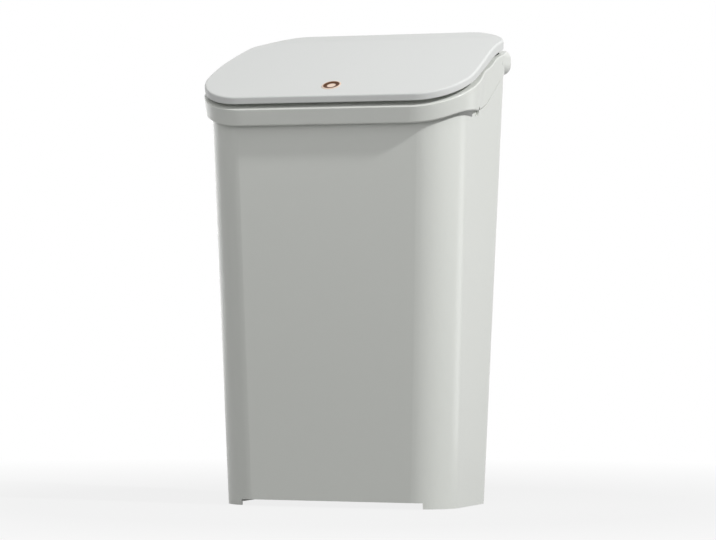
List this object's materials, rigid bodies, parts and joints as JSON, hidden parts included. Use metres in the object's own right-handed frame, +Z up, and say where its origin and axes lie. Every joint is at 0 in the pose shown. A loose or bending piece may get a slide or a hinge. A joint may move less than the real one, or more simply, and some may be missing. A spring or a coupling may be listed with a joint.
{
  "type": "push top bin",
  "caption": "Tapered free-standing kitchen bin with a sloping push-top lid, hinged at the back and held by a push latch in front.",
  "frame": {"origin": "on the floor, under the middle of the bin", "axes": "+X to the bin's right seen from the front, +Y to the back, +Z up"},
  "size_m": [0.2536, 0.173, 0.4233],
  "materials": {
    "tub_plastic": "fine satin",
    "frame_plastic": "fine satin",
    "lid_plastic": "fine satin",
    "inner_plastic": "satin",
    "mark_plastic": "gloss",
    "latch_plastic": "satin",
    "jaw_plastic": "satin",
    "steel": "satin"
  },
  "bodies": {
    "bin": {"tub_body": "tub_plastic", "top_frame": "frame_plastic", "hinge_pin_left": "steel", "hinge_pin_right": "steel", "latch_housing": "latch_plastic", "latch_cover": "latch_plastic", "latch_screws": "steel", "latch_spring": "steel"},
    "lid": {"lid_shell": "lid_plastic", "lid_liner": "inner_plastic", "push_mark": "mark_plastic", "striker": "latch_plastic", "striker_screws": "steel", "hinge_spring_left": "steel", "hinge_spring_right": "steel"},
    "carriage": {"latch_carriage": "jaw_plastic", "jaw_pins": "steel"},
    "jaw_left": {"jaw_left": "jaw_plastic"},
    "jaw_right": {"jaw_right": "jaw_plastic"}
  },
  "joints": [
    {"name": "lid_hinge", "type": "hinge", "parent": "bin", "child": "lid", "pos_m": [0, 0.07512, 0.394], "axis": [-1, 0, 0], "range_deg": [-0.6, 85]},
    {"name": "latch_slide", "type": "slide", "parent": "bin", "child": "carriage", "axis": [0, 0, 1], "range_m": [-0.0015, 0.003], "stiffness_N_per_m": 60, "deforming": ["latch_spring"]},
    {"name": "jaw_left_pivot", "type": "hinge", "parent": "carriage", "child": "jaw_left", "pos_m": [-0.0095, -0.06718, 0.33], "axis": [0, -1, 0], "range_deg": [-6.05, 12.05]},
    {"name": "jaw_right_pivot", "type": "hinge", "parent": "carriage", "child": "jaw_right", "pos_m": [0.0095, -0.06718, 0.33], "axis": [0, 1, 0], "range_deg": [-6.05, 12.05]}
  ],
  "couplings": [
    {"joint": "jaw_left_pivot", "follows": "latch_slide", "rad_per_m": 69.813},
    {"joint": "jaw_right_pivot", "follows": "latch_slide", "rad_per_m": 69.813}
  ]
}
